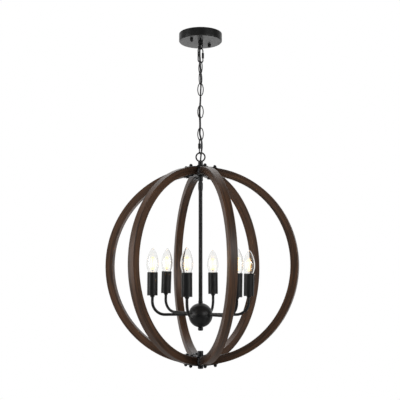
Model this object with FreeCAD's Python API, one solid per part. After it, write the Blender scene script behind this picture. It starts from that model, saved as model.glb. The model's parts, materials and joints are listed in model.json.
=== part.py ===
import FreeCAD, Part
import math
import os

# An orb chandelier: a round canopy on the ceiling, a chain with a lamp cord woven through it,
# and an orb of six bent wooden arcs round a stem with six candle arms.
# Millimetres, +Z up. The origin is the middle of the ceiling plane, where the fixing strap bears.

V = FreeCAD.Vector
UP = V(0, 0, 1)
ALONG_X = V(1, 0, 0)
ALONG_Y = V(0, 1, 0)

# Clearances
FIT = 0.05                  # thread or shank in its hole, on the radius
LINK_GAP = 0.2              # between two links where one hangs in the other
BULB_GAP = 0.3              # bulb base in its socket

# Canopy and what holds it to the ceiling box
CANOPY_D = 127.0
CANOPY_H = 23.7
CANOPY_WALL = 1.0
CANOPY_EDGE_R = 3.5
STRAP_T = 2.0
STRAP_W = 16.0
BOX_STRAP_END = 5.1         # from the end of a slot to the end of its strap
BOX_SLOT_SPACING = 79.4     # between the middles of the two slots
BOX_SLOT_L = 14.4
BOX_SLOT_W = 5.0
CANOPY_STRAP_L = 88.0
CANOPY_SCREW_SPACING = 74.0
CANOPY_SCREW_TURN = 45.0    # the screws stand on this line across the canopy
CANOPY_SCREW_D = 4.1
CANOPY_NUT_D = 9.4
CANOPY_NUT_H = 8.5
NIPPLE_D = 10.0
NIPPLE_BORE = 6.8
NIPPLE_NUT_AF = 15.0
NIPPLE_NUT_H = 3.0

# Screw loop under the canopy
TOP_LOOP_D = 20.0
TOP_LOOP_WIRE = 3.6
TOP_COLLAR_D = 14.2
TOP_COLLAR_H = 7.0
TOP_LOOP_SINK = 3.0         # how far the ring runs up into the collar
CORD_HOLE_D = 8.0
NIPPLE_STOP = 3.0           # the nipple's end stays this far above the collar's foot

# Chain
LINK_COUNT = 7
LINK_L = 39.1
LINK_W = 19.0
LINK_WIRE = 2.8
LINK_END_R = 5.6            # of the wire's middle line round the ends of the oval
QUICK_L = 48.0
QUICK_W = 19.5
QUICK_WIRE = 3.5
QUICK_NUT_AF = 6.6
QUICK_NUT_L = 15.0
QUICK_CUT = 6.0             # opening in the wire, closed by the nut
TOP_LOOP_TURN = -50.0       # each link's turn about the chain, from the X axis
UPPER_QUICK_TURN = 28.0
LOWER_QUICK_TURN = 66.0
LINK_TURNS = (-52.0, 58.0, 0.0, 90.0, 0.0, 90.0, 0.0)

# Ring at the top of the orb
RING_D = 30.0
RING_WIRE = 4.3
RING_COLLAR_D = 14.2
RING_COLLAR_H = 12.0
RING_SINK = 4.1
LOOP_NUT_AF = 17.0
LOOP_NUT_H = 6.0

# Orb: six arcs
ARC_COUNT = 6
ORB_D = 561.0
ARC_T = 21.7                # along the radius of the orb
ARC_W = 22.3
ARC_EASE = 1.0              # planed-off long edges
ARC_END_R = 28.0            # how close the arcs' ends come to the axis
ARC_FIRST = -12.0
ARC_SET = (-3.0, 2.9, -2.3, 0.9, 2.0, -0.7)   # how far each arc stands off its even sixth, degrees

# Spiders that clamp the arcs' ends, and their bolts
LEG_T = 2.0
LEG_W = 16.0
LEG_REACH = 50.0
LEG_ROOT_R = 14.0           # the legs start here, in the disc, clear of flange and post
DISC_D = 48.0
DISC_T = 2.7
BOLT_RADIUS = 42.0          # from the axis, on the outside of the orb
BOLT_D = 4.8
BOLT_HEAD_D = 9.0
BOLT_HEAD_H = 3.2
HUB_NUT_AF = 8.4
HUB_NUT_H = 7.0

# Tube through the top spiders, stem and coupling
TUBE_D = 14.0
TUBE_NECK_D = 10.0
TUBE_DROP = 39.0            # from the outer spider down to the tube's lower end
TUBE_FLANGE_D = 20.0
TUBE_FLANGE_T = 2.0
TUBE_GRIP = 10.0            # length of stem inside the tube
ROD_D = 11.3
ROD_BORE = 7.6
COUPLING_D = 13.8
COUPLING_GAP = 5.0
COUPLING_L = 16.0
COUPLING_TAPER = 7.0

# Ball that carries the arms
BALL_D = 68.6
BALL_WALL = 1.5
BALL_DEPTH = 142.9          # below the middle of the orb
BALL_SEAM = 5.0             # the seam lies this far below the ball's middle
BALL_NECK_D = 12.8
BALL_NECK_H = 5.6
FINIAL_D = 14.5
FINIAL_H = 9.0
FINIAL_FLOOR = 1.6

# Arms, sleeves and sockets
ARM_COUNT = 6
ARM_FIRST = 15.0
ARM_SET = (-3.2, -0.8, 2.8, 3.0, 0.2, -1.4)   # how far each arm stands off its even sixth, degrees
ARM_TILT = (-1.0, 1.4, 2.4, 0.0, -1.2, -1.6)   # how far each arm leans up from level, degrees
ARM_CIRCLE_R = 141.0
ARM_D = 8.0
ARM_WALL = 1.0
ARM_RISE = 2.9              # the arms leave the ball this far above its middle
ARM_BEND_R = 37.0
ARM_INNER_R = 24.0
ARM_NUT_AF = 13.0
ARM_NUT_H = 4.0
SLEEVE_D = 29.4
SLEEVE_WALL = 0.8
SLEEVE_L = 64.4
SLEEVE_BASE = 15.9          # the sleeve's foot above the end of the arm's bend
SLEEVE_NUT_D = 12.6
SLEEVE_NUT_H = 5.0
SOCKET_D = 21.0
SOCKET_L = 48.7
SOCKET_THREAD = 7.0
SOCKET_BORE_L = 23.0

# Bulbs
BULB_CAP_D = 11.9
BULB_CAP_L = 19.0
BULB_TIP_D = 5.0
BULB_TIP_H = 2.4
BULB_SKIRT_D = 15.2
BULB_SKIRT_H = 2.7
GLASS_D = 34.8
GLASS_WALL = 0.8
GLASS_MOUTH_D = 26.0        # at the sleeve's rim
GLASS_WIDEST = 35.5         # above the skirt
GLASS_MOUTH = 11.9          # above the skirt
GLASS_SHOULDER_D = 27.2
GLASS_SHOULDER = 60.3       # above the skirt
GLASS_CROWN_D = 7.6
GLASS_CROWN_H = 3.0         # from there to the tip
GLASS_L = 80.5
STEM_D = 4.4
STEM_L = 19.0
FILAMENT_COUNT = 4
FILAMENT_D = 1.4
FILAMENT_L = 35.0
FILAMENT_CIRCLE_D = 7.0
HOLDER_D = 10.0
HOLDER_T = 0.8

# Post at the foot of the orb
POST_D = 14.0
POST_HEAD_D = 15.6
POST_HEAD_H = 14.4
POST_FOOT_H = 9.1
POST_EASE = 1.0

# Lamp cord: its route from the ceiling box, through the links and down into the stem
CORD_D = 4.6
CORD_ROUTE = (
    (0.0, 0.0, -1.0), (0.0, 0.0, -26.5), (-0.5, -2.5, -34.0), (-1.4, -6.9, -42.5),
    (-3.0, -8.2, -62.0), (-1.4, -6.2, -80.0), (-1.4, -6.2, -91.0), (0.4, -7.5, -112.0),
    (0.5, -7.5, -124.0), (1.3, -6.2, -145.0), (1.3, -6.2, -157.0), (0.3, -10.2, -177.0),
    (0.0, -12.6, -193.0), (-0.7, -12.6, -211.5), (-3.3, 0.0, -235.2), (-1.3, 12.6, -259.0),
    (-1.1, 12.6, -277.5), (-2.8, 0.3, -300.5), (1.9, -7.9, -317.0), (3.7, -7.2, -329.0),
    (3.6, -7.3, -347.0), (2.2, -7.4, -358.5), (0.0, 0.0, -375.5), (0.0, 0.0, -812.0),
)

# Levels, from the ceiling down
ORB_R = ORB_D / 2
ARC_INNER_R = ORB_R - ARC_T
CANOPY_R = CANOPY_D / 2
TOP_LOOP_FOOT = -CANOPY_H - TOP_COLLAR_H + TOP_LOOP_SINK - TOP_LOOP_D


def hang(level, upper_wire, lower_wire):
    """Height of a hanging piece's top wire, from the height of the wire that it hangs on."""
    return level + (upper_wire + lower_wire) / 2 + LINK_GAP


TOP_LOOP_WIRE_Z = TOP_LOOP_FOOT + TOP_LOOP_WIRE / 2
UPPER_QUICK_Z = hang(TOP_LOOP_WIRE_Z, TOP_LOOP_WIRE, QUICK_WIRE)
FIRST_LINK_Z = hang(UPPER_QUICK_Z - QUICK_L + QUICK_WIRE, QUICK_WIRE, LINK_WIRE)
LINK_PITCH = LINK_L - 2 * LINK_WIRE - LINK_GAP
LAST_LINK_FOOT = FIRST_LINK_Z - (LINK_COUNT - 1) * LINK_PITCH - LINK_L + LINK_WIRE
LOWER_QUICK_Z = hang(LAST_LINK_FOOT, LINK_WIRE, QUICK_WIRE)
RING_TOP_Z = hang(LOWER_QUICK_Z - QUICK_L + QUICK_WIRE, QUICK_WIRE, RING_WIRE)
RING_Z = RING_TOP_Z - (RING_D - RING_WIRE) / 2
COLLAR_FOOT_Z = RING_Z - RING_D / 2 + RING_SINK - RING_COLLAR_H
ORB_Z = COLLAR_FOOT_Z - LOOP_NUT_H - LEG_T - ORB_R
BALL_Z = ORB_Z - BALL_DEPTH
ARM_Z = BALL_Z + ARM_RISE
SLEEVE_Z = ARM_Z + ARM_BEND_R + SLEEVE_BASE


def save(name, *solids):
    """Write one sub-part, as one solid or as a group of separate solids."""
    shape = solids[0] if len(solids) == 1 else Part.makeCompound(list(solids))
    shape.exportStep("parts/" + name + ".step")


def rod(radius, z_low, z_high, x=0.0, y=0.0):
    return Part.makeCylinder(radius, z_high - z_low, V(x, y, z_low), UP)


def across(radius, x_low, x_high, z):
    """Round bar along X."""
    return Part.makeCylinder(radius, x_high - x_low, V(x_low, 0, z), ALONG_X)


def turned(points):
    """Solid turned about the Z axis from a closed outline of (radius, height) corners."""
    outline = [V(r, 0, z) for r, z in points]
    face = Part.Face(Part.makePolygon(outline + outline[:1]))
    return face.revolve(V(0, 0, 0), UP, 360)


def hexagon(across_flats, z_low, z_high):
    corner = across_flats / math.sqrt(3)
    points = [V(corner * math.cos(math.radians(60 * k)), corner * math.sin(math.radians(60 * k)), z_low)
              for k in range(7)]
    return Part.Face(Part.makePolygon(points)).extrude(V(0, 0, z_high - z_low))


def spun(shape, degrees):
    """Copy of a shape turned about the Z axis."""
    copy = shape.copy()
    copy.rotate(V(0, 0, 0), UP, degrees)
    return copy


def moved(shape, x, y, z):
    copy = shape.copy()
    copy.translate(V(x, y, z))
    return copy


def flipped(shape):
    """Mirror image in the plane through the middle of the orb."""
    return shape.mirror(V(0, 0, ORB_Z), UP)


def arc_azimuths():
    return [ARC_FIRST + 360.0 / ARC_COUNT * k + ARC_SET[k % len(ARC_SET)] for k in range(ARC_COUNT)]


def on_arm(shape, k):
    """Copy of a shape from the XZ plane to one arm: leant about the ball's middle, then turned."""
    copy = shape.copy()
    copy.rotate(V(0, 0, BALL_Z), ALONG_Y, -ARM_TILT[k % len(ARM_TILT)])
    return spun(copy, ARM_FIRST + 360.0 / ARM_COUNT * k + ARM_SET[k % len(ARM_SET)])


# Ceiling fixings and canopy

def strap(length, width, top):
    """Flat strap with rounded ends along X, with the nipple's hole in its middle."""
    end = length / 2 - width / 2
    flat = Part.makeBox(2 * end, width, STRAP_T, V(-end, -width / 2, top - STRAP_T))
    for side in (-1, 1):
        flat = flat.fuse(rod(width / 2, top - STRAP_T, top, side * end))
    return flat.removeSplitter().cut(rod(NIPPLE_D / 2 + FIT, top - STRAP_T, top))


def box_strap():
    plate = strap(BOX_SLOT_SPACING + BOX_SLOT_L + 2 * BOX_STRAP_END, STRAP_W, 0.0)
    half = (BOX_SLOT_L - BOX_SLOT_W) / 2
    for side in (-1, 1):
        middle = side * BOX_SLOT_SPACING / 2
        slot = Part.makeBox(2 * half, BOX_SLOT_W, STRAP_T, V(middle - half, -BOX_SLOT_W / 2, -STRAP_T))
        for end in (-half, half):
            slot = slot.fuse(rod(BOX_SLOT_W / 2, -STRAP_T, 0, middle + end))
        plate = plate.cut(slot)
    return plate


def canopy_strap():
    plate = strap(CANOPY_STRAP_L, STRAP_W, -STRAP_T)
    for side in (-1, 1):
        plate = plate.cut(rod(CANOPY_SCREW_D / 2 + FIT, -2 * STRAP_T, -STRAP_T,
                              side * CANOPY_SCREW_SPACING / 2))
    return spun(plate, CANOPY_SCREW_TURN)


def nipple():
    foot = -CANOPY_H - TOP_COLLAR_H + NIPPLE_STOP
    return rod(NIPPLE_D / 2, foot, -0.5).cut(rod(NIPPLE_BORE / 2, foot, -0.5))


def nipple_nuts():
    """One nut under the straps and one on the floor of the canopy."""
    nuts = []
    for low in (-2 * STRAP_T - NIPPLE_NUT_H, -CANOPY_H + CANOPY_WALL):
        nut = hexagon(NIPPLE_NUT_AF, low, low + NIPPLE_NUT_H)
        nuts.append(nut.cut(rod(NIPPLE_D / 2 + FIT, low, low + NIPPLE_NUT_H)))
    return nuts


def canopy():
    """Spun pan, open to the ceiling, with a rounded lower edge."""
    pan = rod(CANOPY_R, -CANOPY_H, 0)
    pan = pan.makeFillet(CANOPY_EDGE_R, [e for e in pan.Edges if e.BoundBox.ZMax < -CANOPY_H / 2])
    hollow = rod(CANOPY_R - CANOPY_WALL, -CANOPY_H + CANOPY_WALL, 0)
    low = [e for e in hollow.Edges if e.BoundBox.ZMax < -CANOPY_H / 2]
    pan = pan.cut(hollow.makeFillet(CANOPY_EDGE_R - CANOPY_WALL, low))
    pan = pan.cut(rod(NIPPLE_D / 2 + FIT, -CANOPY_H, 0))
    for side in (-1, 1):
        hole = rod(CANOPY_SCREW_D / 2 + FIT, -CANOPY_H, 0, side * CANOPY_SCREW_SPACING / 2)
        pan = pan.cut(spun(hole, CANOPY_SCREW_TURN))
    return pan


def cap_nut(radius, height, thread_radius):
    """Domed nut standing on z = 0, open below for its thread."""
    shoulder = height - radius * 0.7
    body = rod(radius, 0, shoulder).fuse(dome(radius, shoulder, height)).removeSplitter()
    return body.cut(rod(thread_radius + FIT, 0, shoulder))


def dome(radius, low, high):
    """Round cap from a full radius at low to the axis at high."""
    rise = high - low
    ball_r = (radius * radius + rise * rise) / (2 * rise)
    return Part.makeSphere(ball_r, V(0, 0, high - ball_r)).common(rod(radius, low, high))


def canopy_fixings():
    """The two long screws and their cap nuts below the canopy."""
    nut = cap_nut(CANOPY_NUT_D / 2, CANOPY_NUT_H, CANOPY_SCREW_D / 2)
    nut.rotate(V(0, 0, 0), ALONG_X, 180)
    reach = (CANOPY_NUT_H - CANOPY_NUT_D / 2 * 0.7) * 0.9
    screws, nuts = [], []
    for side in (-1, 1):
        offset = side * CANOPY_SCREW_SPACING / 2
        screws.append(spun(rod(CANOPY_SCREW_D / 2, -CANOPY_H - reach, -STRAP_T, offset), CANOPY_SCREW_TURN))
        nuts.append(spun(moved(nut, offset, 0, -CANOPY_H), CANOPY_SCREW_TURN))
    return screws, nuts


# Loops, links and ring

def wire_ring(outer_d, wire_d, z):
    """Ring of round wire that stands in the XZ plane."""
    return Part.makeTorus((outer_d - wire_d) / 2, wire_d / 2, V(0, 0, z), ALONG_Y)


def canopy_loop():
    foot = -CANOPY_H - TOP_COLLAR_H
    ring = wire_ring(TOP_LOOP_D, TOP_LOOP_WIRE, TOP_LOOP_FOOT + TOP_LOOP_D / 2)
    body = rod(TOP_COLLAR_D / 2, foot, -CANOPY_H).fuse(spun(ring, TOP_LOOP_TURN)).removeSplitter()
    body = body.cut(rod(NIPPLE_D / 2 + FIT, foot + NIPPLE_STOP - FIT, -CANOPY_H))
    return body.cut(rod(CORD_HOLE_D / 2, foot - TOP_LOOP_WIRE / 2, -CANOPY_H))


def chain_link(top_z, turn):
    """Welded oval link of round wire, its middle line two flat arcs and two tight ones, then turned."""
    half_w, half_l = (LINK_W - LINK_WIRE) / 2, (LINK_L - LINK_WIRE) / 2
    reach = half_l - LINK_END_R
    side_r = (half_w ** 2 + reach ** 2 - LINK_END_R ** 2) / (2 * (half_w - LINK_END_R))
    meet = math.atan2(reach, side_r - half_w)

    def bend(x, z, radius, first, last):
        """Arc of the middle line; angles in radians from the X axis."""
        middle = V(x, 0, top_z - half_l + z)
        return Part.Arc(*[middle + V(radius * math.cos(a), 0, radius * math.sin(a))
                          for a in (first, (first + last) / 2, last)]).toShape()

    line = Part.Wire([
        bend(half_w - side_r, 0, side_r, -meet, meet),
        bend(0, reach, LINK_END_R, meet, math.pi - meet),
        bend(side_r - half_w, 0, side_r, math.pi - meet, math.pi + meet),
        bend(0, -reach, LINK_END_R, math.pi + meet, 2 * math.pi - meet)])
    side = line.Edges[0]
    start, along = side.Vertexes[0].Point, side.tangentAt(side.FirstParameter)
    wire = Part.Wire(Part.makeCircle(LINK_WIRE / 2, start, along))
    return spun(line.makePipeShell([wire], True, False), turn)


def straight_link(length, width, wire_d, top_z):
    """Link with straight sides and round ends, standing in the XZ plane; its top wire lies at top_z."""
    bend_r = (width - wire_d) / 2
    upper = top_z - bend_r
    lower = top_z - (length - wire_d) + bend_r
    above = Part.makeBox(width, width, width, V(-width / 2, -width / 2, upper))
    below = Part.makeBox(width, width, width, V(-width / 2, -width / 2, lower - width))
    shape = wire_ring(width, wire_d, upper).common(above)
    bottom = wire_ring(width, wire_d, lower).common(below)
    sides = [rod(wire_d / 2, lower, upper, side * bend_r) for side in (-1, 1)]
    return shape.fuse([bottom] + sides).removeSplitter()


def quick_link(top_z, turn, side):
    """Oval link with an opening in one side, closed by a long hexagon nut."""
    middle = top_z - (QUICK_L - QUICK_WIRE) / 2
    offset = side * (QUICK_W - QUICK_WIRE) / 2
    body = straight_link(QUICK_L, QUICK_W, QUICK_WIRE, top_z)
    body = body.cut(rod(QUICK_WIRE, middle - QUICK_CUT / 2, middle + QUICK_CUT / 2, offset))
    nut = moved(hexagon(QUICK_NUT_AF, middle - QUICK_NUT_L / 2, middle + QUICK_NUT_L / 2), offset, 0, 0)
    nut = nut.cut(rod(QUICK_WIRE / 2 + FIT, middle - QUICK_NUT_L / 2, middle + QUICK_NUT_L / 2, offset))
    return spun(body, turn), spun(nut, turn)


def ring_loop():
    """Ring and threaded collar that carry the orb."""
    top = COLLAR_FOOT_Z + RING_COLLAR_H
    body = rod(RING_COLLAR_D / 2, COLLAR_FOOT_Z, top).fuse(wire_ring(RING_D, RING_WIRE, RING_Z))
    body = body.removeSplitter().cut(rod(TUBE_NECK_D / 2 + FIT, COLLAR_FOOT_Z, top - RING_SINK * 1.4))
    return body.cut(rod(CORD_HOLE_D / 2, COLLAR_FOOT_Z, top + RING_WIRE))


def loop_nut():
    nut = hexagon(LOOP_NUT_AF, COLLAR_FOOT_Z - LOOP_NUT_H, COLLAR_FOOT_Z)
    return nut.cut(rod(TUBE_NECK_D / 2 + FIT, COLLAR_FOOT_Z - LOOP_NUT_H, COLLAR_FOOT_Z))


# Orb

def band(inner_r, outer_r, near, reach, width):
    """Strip bent round the middle of the orb, across the top pole, from x = near to x = reach."""
    def at(radius, x):
        return V(x, 0, math.sqrt(radius * radius - x * x))
    half = (near + reach) / 2
    edges = [
        Part.Arc(at(outer_r, near), at(outer_r, half), at(outer_r, reach)).toShape(),
        Part.makeLine(at(outer_r, reach), at(inner_r, reach)),
        Part.Arc(at(inner_r, reach), at(inner_r, half), at(inner_r, near)).toShape(),
        Part.makeLine(at(inner_r, near), at(outer_r, near)),
    ]
    strip = Part.Face(Part.Wire(edges)).extrude(V(0, width, 0))
    return moved(strip, 0, -width / 2, ORB_Z)


def bolt_axis(shape, azimuth):
    """Copy of a shape from the Z axis to the line of one bolt of the top spiders."""
    copy = shape.copy()
    copy.rotate(V(0, 0, 0), ALONG_Y, math.degrees(math.asin(BOLT_RADIUS / ORB_R)))
    return moved(spun(copy, azimuth), 0, 0, ORB_Z)


def wood_arc(azimuth):
    """Half hoop of solid wood, bored for a bolt near each end."""
    def at(radius, side):
        return V(ARC_END_R, 0, side * math.sqrt(radius * radius - ARC_END_R * ARC_END_R))
    edges = [
        Part.Arc(at(ORB_R, 1), V(ORB_R, 0, 0), at(ORB_R, -1)).toShape(),
        Part.makeLine(at(ORB_R, -1), at(ARC_INNER_R, -1)),
        Part.Arc(at(ARC_INNER_R, -1), V(ARC_INNER_R, 0, 0), at(ARC_INNER_R, 1)).toShape(),
        Part.makeLine(at(ARC_INNER_R, 1), at(ORB_R, 1)),
    ]
    hoop = Part.Face(Part.Wire(edges)).extrude(V(0, ARC_W, 0))
    hoop = moved(hoop, 0, -ARC_W / 2, 0)
    long_edges = [e for e in hoop.Edges if e.BoundBox.ZLength > ORB_R]
    hoop = hoop.makeChamfer(ARC_EASE, long_edges)
    hoop = moved(spun(hoop, azimuth), 0, 0, ORB_Z)
    hole = bolt_axis(rod(BOLT_D / 2 + FIT, ARC_INNER_R - ARC_T, ORB_R + ARC_T), azimuth)
    return hoop.cut(hole).cut(flipped(hole))


def spider(outside, hole_d):
    """Dished plate with a leg on each arc, outside or inside the top of the orb."""
    inner_r = ORB_R if outside else ARC_INNER_R - LEG_T
    outer_r = inner_r + LEG_T
    low = outer_r - DISC_T if outside else inner_r
    plate = rod(DISC_D / 2, ORB_Z + low, ORB_Z + low + DISC_T)
    trim = rod(LEG_REACH, ORB_Z, ORB_Z + outer_r + LEG_T)
    leg = band(inner_r, outer_r, LEG_ROOT_R, LEG_REACH + LEG_T, LEG_W)
    legs = [spun(leg, a).common(trim) for a in arc_azimuths()]
    plate = plate.fuse(legs).removeSplitter()
    holes = [bolt_axis(rod(BOLT_D / 2 + FIT, ARC_INNER_R - ARC_T, ORB_R + ARC_T), a) for a in arc_azimuths()]
    return plate.cut(holes + [rod(hole_d / 2 + FIT, ORB_Z, ORB_Z + outer_r + LEG_T)])


def hub_bolts():
    """A bolt and its cap nut through each end of each arc, heads inside the orb."""
    leg_r = ARC_INNER_R - LEG_T
    head = leg_r - BOLT_HEAD_D ** 2 / (8 * leg_r) - FIT     # the flat head bears on a hollow leg
    grip = ORB_R + LEG_T
    thread = HUB_NUT_H - HUB_NUT_AF * 0.35
    bolt = rod(BOLT_D / 2, head, grip + thread * 0.9)
    bolt = bolt.fuse(rod(BOLT_HEAD_D / 2, head - BOLT_HEAD_H, head)).removeSplitter()
    nut = hexagon(HUB_NUT_AF, 0, thread).fuse(dome(HUB_NUT_AF / 2, thread, HUB_NUT_H)).removeSplitter()
    nut = moved(nut.cut(rod(BOLT_D / 2 + FIT, 0, thread)), 0, 0, grip)
    bolts, nuts = [], []
    for azimuth in arc_azimuths():
        for kind, made in ((bolt, bolts), (nut, nuts)):
            upper = bolt_axis(kind, azimuth)
            made += [upper, flipped(upper)]
    return bolts, nuts


def hub_tube():
    """Tube through the top spiders: flange under the lower one, thread for nut and ring above."""
    top = COLLAR_FOOT_Z + RING_COLLAR_H - RING_SINK * 1.4 - FIT
    shoulder = ORB_Z + ORB_R + LEG_T - DISC_T
    flange = ORB_Z + ARC_INNER_R - LEG_T
    foot = ORB_Z + ORB_R + LEG_T - TUBE_DROP - LEG_T
    tube_r, neck_r, flange_r = TUBE_D / 2, TUBE_NECK_D / 2, TUBE_FLANGE_D / 2
    grip_r, bore_r = ROD_D / 2 + FIT, NIPPLE_BORE / 2
    return turned((
        (grip_r, foot), (tube_r, foot), (tube_r, flange - TUBE_FLANGE_T),
        (flange_r, flange - TUBE_FLANGE_T), (flange_r, flange), (tube_r, flange), (tube_r, shoulder),
        (neck_r, shoulder), (neck_r, top), (bore_r, top),
        (bore_r, foot + TUBE_GRIP), (grip_r, foot + TUBE_GRIP),
    ))


def coupling_top():
    return ORB_Z + ORB_R - TUBE_DROP - COUPLING_GAP


def rod_coupling():
    top = coupling_top()
    bore, wide = ROD_D / 2 + FIT, COUPLING_D / 2
    return turned((
        (bore, top), (wide - POST_EASE, top), (wide, top - POST_EASE), (wide, top - COUPLING_L),
        (bore + POST_EASE / 2, top - COUPLING_L - COUPLING_TAPER), (bore, top - COUPLING_L - COUPLING_TAPER),
    ))


def stem_rod():
    top = ORB_Z + ORB_R - TUBE_DROP + TUBE_GRIP - FIT
    foot = BALL_Z - BALL_D / 2 - FINIAL_H + FINIAL_FLOOR + FIT
    return rod(ROD_D / 2, foot, top).cut(rod(ROD_BORE / 2, foot, top))


def ball_shell(upper):
    """Half of the hollow ball, cut at the seam, with the stem's hole at its pole."""
    outer = Part.makeSphere(BALL_D / 2, V(0, 0, BALL_Z))
    half = rod(BALL_D, BALL_Z - BALL_SEAM, BALL_Z + BALL_D)
    if upper:
        outer = outer.fuse(rod(BALL_NECK_D / 2, BALL_Z, BALL_Z + BALL_D / 2 + BALL_NECK_H)).removeSplitter()
    shell = outer.common(half) if upper else outer.cut(half)
    shell = shell.cut(Part.makeSphere(BALL_D / 2 - BALL_WALL, V(0, 0, BALL_Z)))
    shell = shell.cut(rod(ROD_D / 2 + FIT, BALL_Z - BALL_D, BALL_Z + BALL_D))
    if upper:
        hole = across(ARM_D / 2 + FIT, 0, BALL_D, ARM_Z)
        shell = shell.cut([on_arm(hole, k) for k in range(ARM_COUNT)])
    return shell


def ball_finial():
    seat = math.sqrt((BALL_D / 2) ** 2 - (ROD_D / 2) ** 2)
    top = BALL_Z - seat - FIT
    foot = BALL_Z - BALL_D / 2 - FINIAL_H
    radius, bore = FINIAL_D / 2, ROD_D / 2 + FIT
    return turned((
        (0, foot), (radius - 2 * POST_EASE, foot), (radius, foot + 2 * POST_EASE),
        (radius, top - POST_EASE), (radius - POST_EASE, top), (bore, top), (bore, foot + FINIAL_FLOOR),
        (0, foot + FINIAL_FLOOR),
    ))


def bottom_post():
    """Stud through the bottom spiders with a long head inside the orb, and the cap screwed to its foot."""
    seat = ORB_Z - ARC_INNER_R + LEG_T
    under = ORB_Z - ORB_R - LEG_T
    head_r, post_r, ease = POST_HEAD_D / 2, POST_D / 2, POST_EASE
    stud = turned((
        (0, under - POST_FOOT_H / 2), (post_r / 2, under - POST_FOOT_H / 2), (post_r / 2, under),
        (post_r, under), (post_r, seat), (head_r, seat), (head_r, seat + POST_HEAD_H - ease),
        (head_r - ease, seat + POST_HEAD_H), (0, seat + POST_HEAD_H),
    ))
    thread_r, floor = post_r / 2 + FIT, under - POST_FOOT_H / 2 - FIT
    cap = turned((
        (0, under - POST_FOOT_H), (head_r - ease, under - POST_FOOT_H), (head_r, under - POST_FOOT_H + ease),
        (head_r, under), (thread_r, under), (thread_r, floor), (0, floor),
    ))
    return stud, cap


# Arms, sleeves, sockets and bulbs

def candle_arm():
    """Tube that runs out of the ball and bends up into the sleeve, and its nut inside the ball."""
    bend_z = ARM_Z + ARM_BEND_R
    start = V(ARM_INNER_R, 0, ARM_Z)
    turn = V(ARM_CIRCLE_R - ARM_BEND_R, 0, ARM_Z)
    slant = ARM_BEND_R * math.sqrt(0.5)
    middle = V(ARM_CIRCLE_R - ARM_BEND_R + slant, 0, bend_z - slant)
    rise = V(ARM_CIRCLE_R, 0, bend_z)
    end = V(ARM_CIRCLE_R, 0, SLEEVE_Z + SLEEVE_WALL + SOCKET_THREAD)
    path = Part.Wire([
        Part.makeLine(start, turn), Part.Arc(turn, middle, rise).toShape(), Part.makeLine(rise, end)])
    pipes = []
    for radius in (ARM_D / 2, ARM_D / 2 - ARM_WALL):
        ring = Part.Wire(Part.makeCircle(radius, start, ALONG_X))
        pipes.append(path.makePipeShell([ring], True, False))
    tube = pipes[0].cut(pipes[1])
    nut = hexagon(ARM_NUT_AF, 0, ARM_NUT_H).cut(rod(ARM_D / 2 + FIT, 0, ARM_NUT_H))
    nut.rotate(V(0, 0, 0), ALONG_Y, 90)
    corner = ARM_NUT_AF / math.sqrt(3) + ARM_RISE
    wall = math.sqrt((BALL_D / 2 - BALL_WALL) ** 2 - corner * corner)
    nut = moved(nut, wall - ARM_NUT_H - FIT, 0, ARM_Z)
    return tube, nut


def on_arms(shape):
    """Copies of a shape from the Z axis onto the six arms' ends."""
    out = moved(shape, ARM_CIRCLE_R, 0, 0)
    return [on_arm(out, k) for k in range(ARM_COUNT)]


def sleeve():
    outer, bore = SLEEVE_D / 2, ARM_D / 2 + FIT
    floor = SLEEVE_Z + SLEEVE_WALL
    return turned((
        (bore, SLEEVE_Z), (outer, SLEEVE_Z), (outer, SLEEVE_Z + SLEEVE_L),
        (outer - SLEEVE_WALL, SLEEVE_Z + SLEEVE_L), (outer - SLEEVE_WALL, floor), (bore, floor),
    ))


def sleeve_nut():
    bore, foot = ARM_D / 2 + FIT, SLEEVE_Z - SLEEVE_NUT_H
    return turned((
        (bore, foot), (bore + POST_EASE / 2, foot), (SLEEVE_NUT_D / 2, SLEEVE_Z - SLEEVE_NUT_H / 2),
        (SLEEVE_NUT_D / 2, SLEEVE_Z), (bore, SLEEVE_Z),
    ))


def socket_top():
    return SLEEVE_Z + SLEEVE_WALL + SOCKET_L


def lamp_socket():
    """Lampholder: the arm's thread below, the bulb's well above."""
    low, top = SLEEVE_Z + SLEEVE_WALL, socket_top()
    wide, well = SOCKET_D / 2, BULB_CAP_D / 2 + BULB_GAP
    thread = ARM_D / 2 + FIT
    roof = low + SOCKET_THREAD + FIT
    return turned((
        (thread, low), (wide, low), (wide, top), (well, top), (well, top - SOCKET_BORE_L),
        (0, top - SOCKET_BORE_L), (0, roof), (thread, roof),
    ))


def bulb_base():
    """Screw base with its contact, and the glass stem with its lit filaments."""
    skirt = socket_top() + BULB_GAP
    cap_r, skirt_r, tip_r = BULB_CAP_D / 2, BULB_SKIRT_D / 2, BULB_TIP_D / 2
    foot = skirt - BULB_CAP_L
    top = skirt + BULB_SKIRT_H
    cap = turned((
        (0, foot - BULB_TIP_H), (tip_r, foot - BULB_TIP_H), (tip_r + POST_EASE, foot), (cap_r, foot),
        (cap_r, skirt), (skirt_r, skirt), (skirt_r, top), (0, top),
    ))
    holder = top + STEM_L
    light = rod(STEM_D / 2, top, holder)
    light = light.fuse(rod(HOLDER_D / 2, holder - HOLDER_T, holder))
    light = light.fuse(rod(HOLDER_D / 2, holder + FILAMENT_L, holder + FILAMENT_L + HOLDER_T))
    for k in range(FILAMENT_COUNT):
        stick = rod(FILAMENT_D / 2, holder - HOLDER_T, holder + FILAMENT_L + HOLDER_T, FILAMENT_CIRCLE_D / 2)
        light = light.fuse(spun(stick, 360.0 / FILAMENT_COUNT * k))
    return cap, light.removeSplitter()


def on_dome(radius, low, high):
    """Point halfway up the line of a round cap that is centred on the axis."""
    rise = high - low
    ball_r = (radius * radius + rise * rise) / (2 * rise)
    half = math.atan2(radius, ball_r - rise) / 2
    return V(ball_r * math.sin(half), 0, high - ball_r + ball_r * math.cos(half))


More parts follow.
